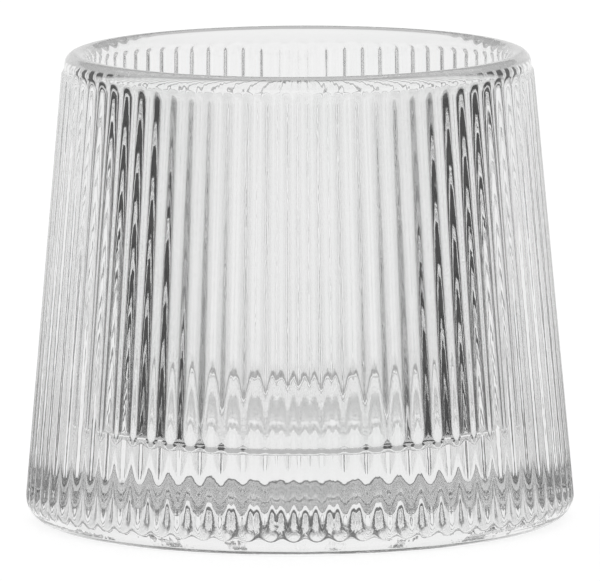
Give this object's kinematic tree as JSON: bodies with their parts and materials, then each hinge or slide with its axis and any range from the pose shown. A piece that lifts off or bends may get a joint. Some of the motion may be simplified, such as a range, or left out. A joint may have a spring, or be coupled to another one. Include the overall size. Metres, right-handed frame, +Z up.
{
  "type": "fluted tea glass",
  "caption": "Squat clear pressed-glass tea tumbler, wider at the heel than at the rim, with straight fine flutes outside, a smooth drafted inside, a rounded lip and a thick solid base.",
  "frame": {"origin": "centre of the foot, on the surface that the glass stands on", "axes": "+Z up along the glass's axis, towards the mouth; -Y is the pictured front; the glass is the same all round"},
  "size_m": [0.0842, 0.0842, 0.072],
  "materials": {
    "glass": "clear, colourless, fire-polished soda-lime glass"
  },
  "bodies": {
    "root": {"rim": "glass", "fluted_wall": "glass", "base": "glass", "foot": "glass"}
  },
  "joints": []
}
